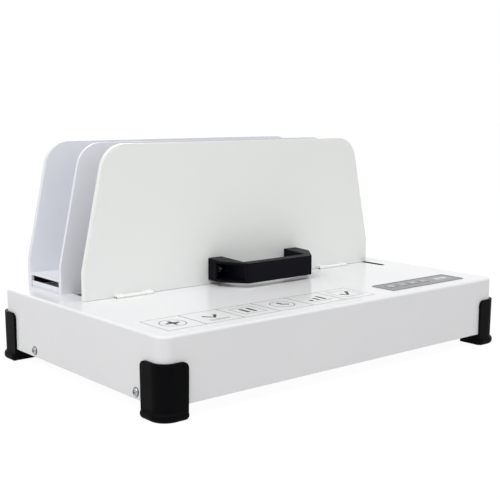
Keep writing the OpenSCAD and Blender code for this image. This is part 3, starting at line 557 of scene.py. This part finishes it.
def print_ink(name, strokes, width, corner, body, finish):
    """Prints strokes, measured from a point on a face, as one thin bead of ink lying on that face."""
    bpy.ops.object.select_all(action="DESELECT")
    line = bpy.data.curves.new(name, "CURVE")
    line.dimensions = "3D"
    line.bevel_depth = width * MM / 2
    line.bevel_resolution = 1
    line.use_fill_caps = True
    for points in strokes:
        closed = math.dist(points[0], points[-1]) < CLOSED_GAP
        points = points[:-1] if closed else points
        spline = line.splines.new("POLY")
        spline.points.add(len(points) - 1)
        spline.use_cyclic_u = closed
        for point, (x, y) in zip(spline.points, points):
            point.co = (corner[0] + x * MM, corner[1] + y * MM, corner[2], 1)
    piece = bpy.data.objects.new(name, line)
    bpy.context.scene.collection.objects.link(piece)
    piece.select_set(True)
    bpy.context.view_layer.objects.active = piece
    bpy.ops.object.convert(target="MESH")
    piece = bpy.context.active_object
    bpy.ops.object.mode_set(mode="EDIT")
    bpy.ops.mesh.select_all(action="SELECT")
    bpy.ops.transform.resize(value=(1, 1, 2 * INK_RISE / width), center_override=corner)
    bpy.ops.mesh.normals_make_consistent(inside=False)
    bpy.ops.object.mode_set(mode="OBJECT")
    piece.data.materials.clear()
    piece.data.materials.append(finish)
    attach(piece, body)


# screen inks, all satin: black for signs, a grey for lines, a dark grey for the painted shade of the
# panel's recess, white for the panel
black_ink = printed_film("black_screen_ink", "#202022", "#1A1A1C", rough=0.4, mirror=0.2)
grey_ink = printed_film("grey_screen_ink", "#68686C", "#606064", rough=0.4, mirror=0.2)
shadow_ink = printed_film("dark_grey_painted_recess_shade", "#4A4A4E", "#424246", rough=0.4, mirror=0.1)
white_ink = printed_film("white_screen_ink", "#F4F4F5", "#EEEEF0", rough=0.4)

# six steps along the strip, each a bold sign with a fine outline
strip_low, strip_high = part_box("guide_strip")
strip_corner = (strip_low[0], strip_low[1], strip_high[2])
strip_l = (strip_high[0] - strip_low[0]) / MM
strip_d = (strip_high[1] - strip_low[1]) / MM
STEPS = 6
SIGN_W = 3
LINE_W = 0.8
RIM = 1.2
cell = strip_l / STEPS
mid = [(cell * (i + 0.5), strip_d / 2) for i in range(STEPS)]


def at(i, points):
    """Moves a stroke to the middle of a step."""
    return [(mid[i][0] + x, mid[i][1] + y) for x, y in points]


bold = [at(0, [(-6, 0), (6, 0)]), at(0, [(0, -6), (0, 6)]),
        at(1, [(-6, 4), (0, -4), (6, 4)]),
        at(2, [(-3.5, -6), (-3.5, 6)]), at(2, [(3.5, -6), (3.5, 6)]),
        at(3, [(0, 6.5), (0, 0), (5, -3)]),
        at(4, [(-7, -6), (-7, -2)]), at(4, [(0, -6), (0, 2)]), at(4, [(7, -6), (7, 6)]),
        at(5, [(-6, 0), (-1.5, -5), (7, 6)])]
fine = [frame_line(RIM, RIM, strip_l - RIM, strip_d - RIM)]
fine += [[(cell * i, RIM), (cell * i, strip_d - RIM)] for i in range(1, STEPS)]
fine += [ring(*mid[0], 10), at(1, [(-9, -9), (9, -9)]), at(1, [(-9, -11.5), (9, -11.5)]),
         at(2, frame_line(-11, -10, 11, 10)), ring(*mid[3], 10), at(4, [(-11, -9), (11, -9)]),
         at(5, frame_line(-11, -11, 11, 11))]
print_ink("strip_signs", bold, SIGN_W, strip_corner, "base", black_ink)
print_ink("strip_lines", fine, LINE_W, strip_corner, "base", grey_ink)

# painted shade: the liner's lip, a black bead that lies on the deck all round the slot, dark as the shade
# inside it
LIP_W = 1.6
LIP_STEPS = 10
liner_low, liner_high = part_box("slot_liner")
lip_x = (liner_high[0] - liner_low[0]) / MM / 2
lip_y = (liner_high[1] - liner_low[1]) / MM
arc = [math.pi * i / LIP_STEPS for i in range(LIP_STEPS + 1)]
lip = [(lip_x * math.cos(a), lip_y - lip_x + lip_x * math.sin(a)) for a in arc]
lip += [(-lip_x * math.cos(a), lip_x - lip_x * math.sin(a)) for a in arc]
liner_corner = ((liner_low[0] + liner_high[0]) / 2, liner_low[1], liner_high[2])
print_ink("slot_lip", [lip + lip[:1]], LIP_W, liner_corner, "base",
          finishes["black_plastic"])

# painted shade: a dark band along the panel's rear edge and right end, standing for the shade of a recess
RECESS_SHADE_W = 2
RECESS_SHADE_INSET = 1.1
RECESS_SHADE_END = 0.9
panel_low, panel_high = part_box("control_bezel")
panel_corner = (panel_low[0], panel_low[1], panel_high[2])
panel_l = (panel_high[0] - panel_low[0]) / MM
panel_d = (panel_high[1] - panel_low[1]) / MM
recess_shade_line = [(RECESS_SHADE_END, panel_d - RECESS_SHADE_INSET), (panel_l - RECESS_SHADE_INSET, panel_d - RECESS_SHADE_INSET),
          (panel_l - RECESS_SHADE_INSET, RECESS_SHADE_END)]
print_ink("panel_painted_recess_shade", [recess_shade_line], RECESS_SHADE_W, panel_corner, "base", shadow_ink)

# four bars and two dots in the display
BAR_W = 1.7
window_low, window_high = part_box("display_window")
window_mid = ((window_low[0] + window_high[0]) / 2, (window_low[1] + window_high[1]) / 2, panel_high[2])
bars = [[(x, -3), (x, 3)] for x in (-6, -3, 3, 6)]
bars += [[(-0.2, y), (0.2, y)] for y in (1.4, -1.4)]
print_ink("window_bars", bars, BAR_W, window_mid, "base", white_ink)

# one sign on each key
KEY_SIGN_W = 0.7
key_signs = {"key_1": [ring(0, 0, 2)], "key_2": [[(-2, 0), (2, 0)]],
             "key_3": [[(-2, 0), (2, 0)], [(0, -2), (0, 2)]],
             "key_4": [[(-1.5, -2), (2, 0), (-1.5, 2), (-1.5, -2)]]}
for name, strokes in key_signs.items():
    low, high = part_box(name)
    top = ((low[0] + high[0]) / 2, (low[1] + high[1]) / 2, high[2])
    print_ink(name + "_sign", strokes, KEY_SIGN_W, top, name, white_ink)


# Floor, light and camera, in metres

WHITE = (1, 1, 1, 1)


def background_rays(tree):
    """Gives 1 on the rays that show the background, straight, mirrored or through glass."""
    path = add(tree, "ShaderNodeLightPath")
    seen = add(tree, "ShaderNodeMath", operation="MAXIMUM",
               links={0: path.outputs["Is Camera Ray"], 1: path.outputs["Is Glossy Ray"]})
    seen = add(tree, "ShaderNodeMath", operation="MAXIMUM",
               links={0: seen.outputs[0], 1: path.outputs["Is Transmission Ray"]})
    return seen.outputs[0]


def studio_floor():
    """A paper sweep that looks nearly white and keeps a soft shadow."""
    paper_grey = srgb("#CFCFCF")
    shadow_share = (0.12, 0.12, 0.12, 1)
    glow_level = 0.93
    # painted shadow: under the middle of the machine the paper's glow is taken away, as there it lies in
    # the dark, which shows through the vents
    dark_y = 0.03
    dark_half_x = (0.11, 0.135)
    dark_half_y = (0.045, 0.07)
    bpy.ops.object.select_all(action="DESELECT")
    bpy.ops.mesh.primitive_plane_add(size=40)
    floor = bpy.context.active_object
    floor.name = "studio_floor"
    finish = bpy.data.materials.new("pale_paper_sweep")
    finish.use_nodes = True
    tree = finish.node_tree
    tree.nodes.clear()
    paper = add(tree, "ShaderNodeBsdfDiffuse", {"Color": paper_grey})
    shade = add(tree, "ShaderNodeBsdfDiffuse", {"Color": shadow_share})
    axes = add(tree, "ShaderNodeSeparateXYZ",
               links={0: add(tree, "ShaderNodeTexCoord").outputs["Object"]})
    side = add(tree, "ShaderNodeMath", links={0: axes.outputs["X"]}, operation="ABSOLUTE")
    side = add(tree, "ShaderNodeMapRange", {"From Min": dark_half_x[0], "From Max": dark_half_x[1]},
               {"Value": side.outputs[0]})
    ahead = add(tree, "ShaderNodeMath", {1: dark_y}, {0: axes.outputs["Y"]}, operation="SUBTRACT")
    ahead = add(tree, "ShaderNodeMath", links={0: ahead.outputs[0]}, operation="ABSOLUTE")
    ahead = add(tree, "ShaderNodeMapRange", {"From Min": dark_half_y[0], "From Max": dark_half_y[1]},
                {"Value": ahead.outputs[0]})
    open_floor = add(tree, "ShaderNodeMath", links={0: side.outputs[0], 1: ahead.outputs[0]},
                     operation="MAXIMUM")
    level = add(tree, "ShaderNodeMath", {1: glow_level}, {0: open_floor.outputs[0]}, operation="MULTIPLY")
    glow = add(tree, "ShaderNodeEmission", {"Color": WHITE}, {"Strength": level.outputs[0]})
    lit = add(tree, "ShaderNodeAddShader", links={0: shade.outputs[0], 1: glow.outputs[0]})
    mix = add(tree, "ShaderNodeMixShader",
              links={0: background_rays(tree), 1: paper.outputs[0], 2: lit.outputs[0]})
    add(tree, "ShaderNodeOutputMaterial", links={"Surface": mix.outputs[0]})
    floor.data.materials.append(finish)


def studio_world(strength):
    """An even light from all round, behind a white background."""
    world = bpy.data.worlds.new("studio")
    bpy.context.scene.world = world
    world.use_nodes = True
    tree = world.node_tree
    tree.nodes.clear()
    soft = add(tree, "ShaderNodeBackground", {"Color": WHITE, "Strength": strength})
    white = add(tree, "ShaderNodeBackground", {"Color": WHITE, "Strength": 1.0})
    mix = add(tree, "ShaderNodeMixShader",
              links={0: background_rays(tree), 1: soft.outputs[0], 2: white.outputs[0]})
    add(tree, "ShaderNodeOutputWorld", links={"Surface": mix.outputs[0]})


def soft_lamp(name, place, aim, size, power):
    """A round soft box that faces a point on the machine."""
    light = bpy.data.lights.new(name, "AREA")
    light.shape = "DISK"
    light.size = size
    light.energy = power
    lamp = bpy.data.objects.new(name, light)
    bpy.context.scene.collection.objects.link(lamp)
    lamp.location = place
    lamp.rotation_euler = (Vector(aim) - Vector(place)).to_track_quat("-Z", "Y").to_euler()


def photo_camera():
    """Stands where the photograph was taken from, with its lens and framing."""
    place = (-0.54314, -0.63358, 0.21232)
    pan = math.radians(-39.238)
    tilt = math.radians(90 - 7.713)
    lens = bpy.data.cameras.new("photo_camera")
    lens.sensor_width = 36
    lens.sensor_fit = "HORIZONTAL"
    lens.lens = 68.53
    lens.shift_x = 0.0331
    lens.shift_y = -0.0208
    lens.clip_start = 0.01
    camera = bpy.data.objects.new("photo_camera", lens)
    bpy.context.scene.collection.objects.link(camera)
    turn = Matrix.Rotation(pan, 4, "Z") @ Matrix.Rotation(tilt, 4, "X")
    camera.matrix_world = Matrix.Translation(place) @ turn
    bpy.context.scene.camera = camera


studio_floor()
studio_world(strength=0.6)
soft_lamp("key_light", place=(-1.35, -0.4, 1.75), aim=(0, 0, 0.06), size=1.8, power=21)
soft_lamp("front_fill", place=(-0.1, -1.6, 0.6), aim=(0, 0, 0.08), size=1.0, power=1.8)
soft_lamp("top_fill", place=(0.4, -0.5, 1.8), aim=(0, 0, 0.06), size=1.2, power=6)
soft_lamp("rear_fill", place=(0.5, 1.7, 0.7), aim=(0, 0, 0.06), size=1.2, power=6)
photo_camera()
bpy.context.scene.view_settings.view_transform = "Standard"
